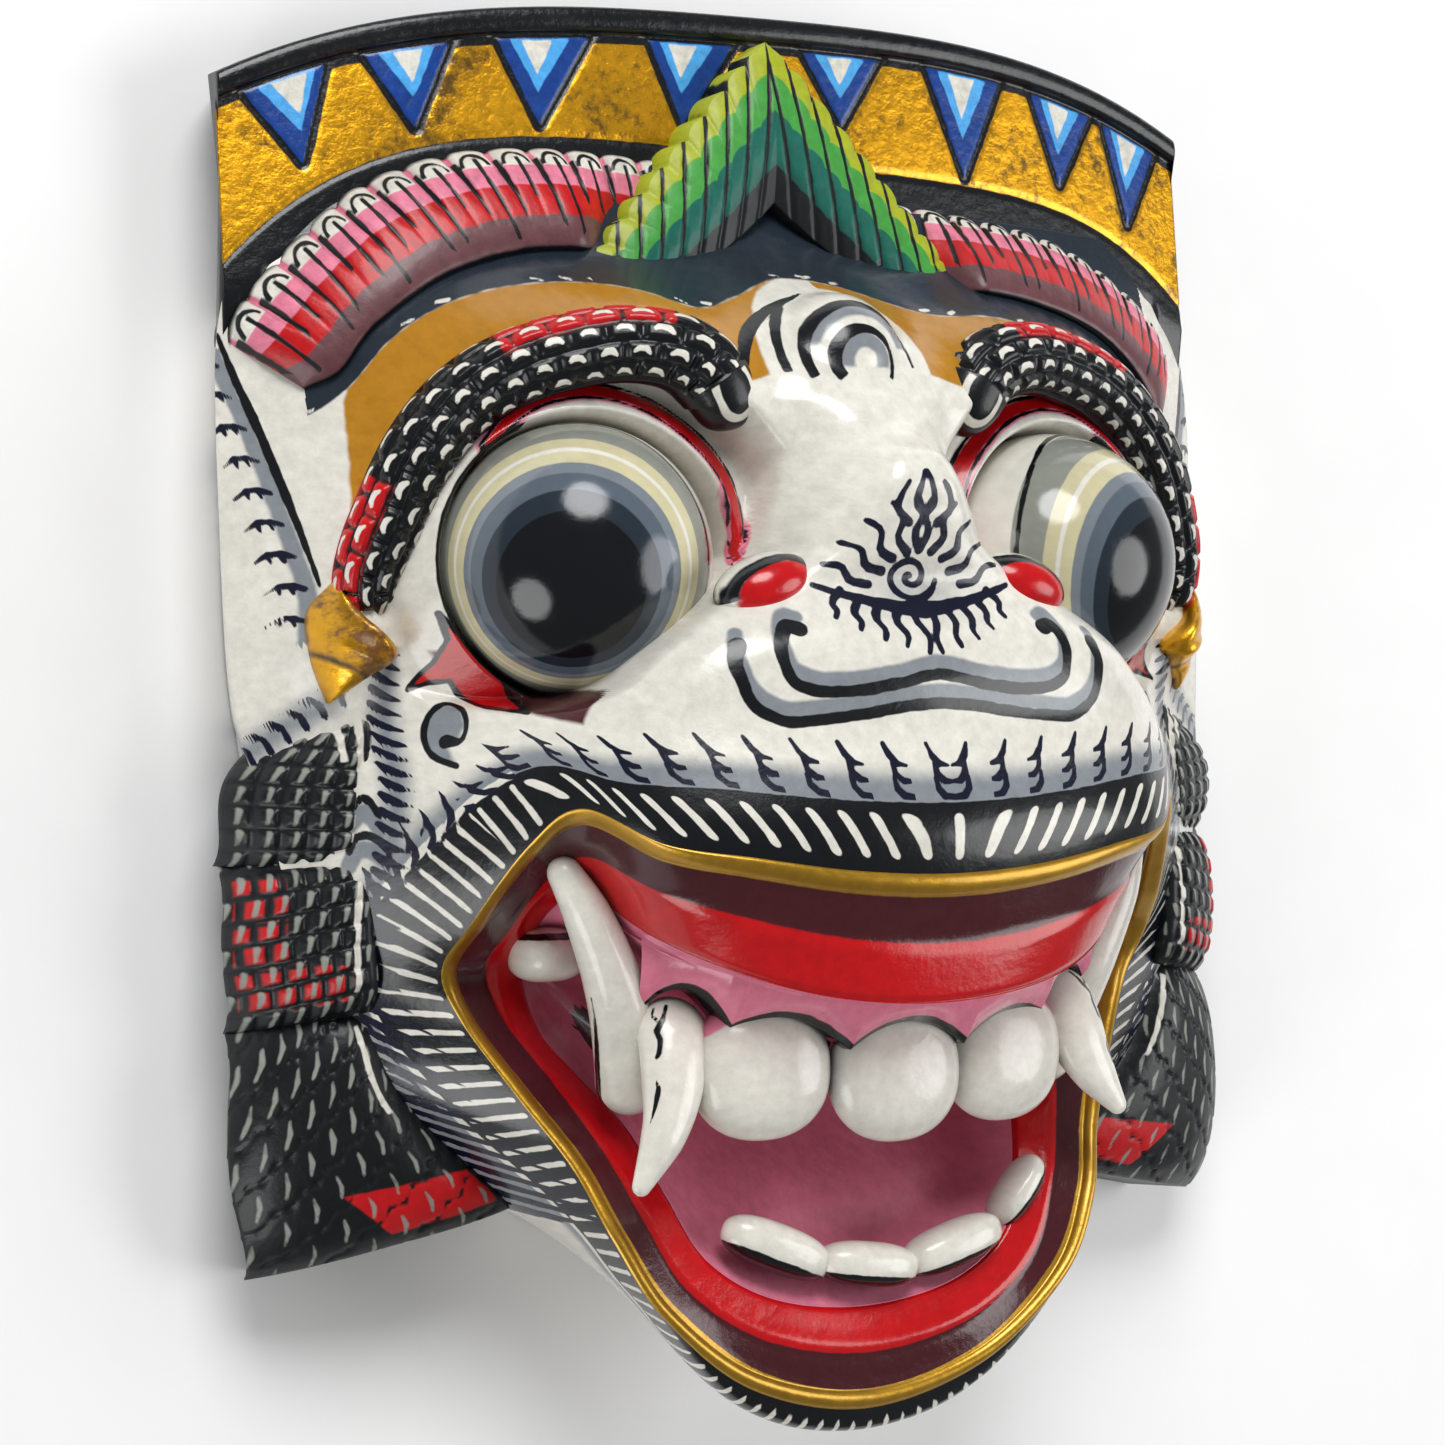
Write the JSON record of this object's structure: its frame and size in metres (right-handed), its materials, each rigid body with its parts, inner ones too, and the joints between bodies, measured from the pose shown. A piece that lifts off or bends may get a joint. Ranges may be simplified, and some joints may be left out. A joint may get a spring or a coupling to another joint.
{
  "type": "carved wooden monkey mask",
  "caption": "Carved and painted wooden monkey mask with bulging eyes, an open fanged mouth and a patterned headband, worn over the face or hung for show",
  "frame": {"origin": "Middle of the mask's width and height, on the plane of its back rim, on which it lies", "axes": "+X to the viewer's right, +Y up the face from chin to crown, +Z out of the face"},
  "size_m": [0.1935, 0.2381, 0.0829],
  "materials": {
    "painted_wood": "gloss white paint with painted patterns and gold leaf on carved wood"
  },
  "bodies": {
    "root": {"carved_mask": "painted_wood"}
  },
  "joints": []
}
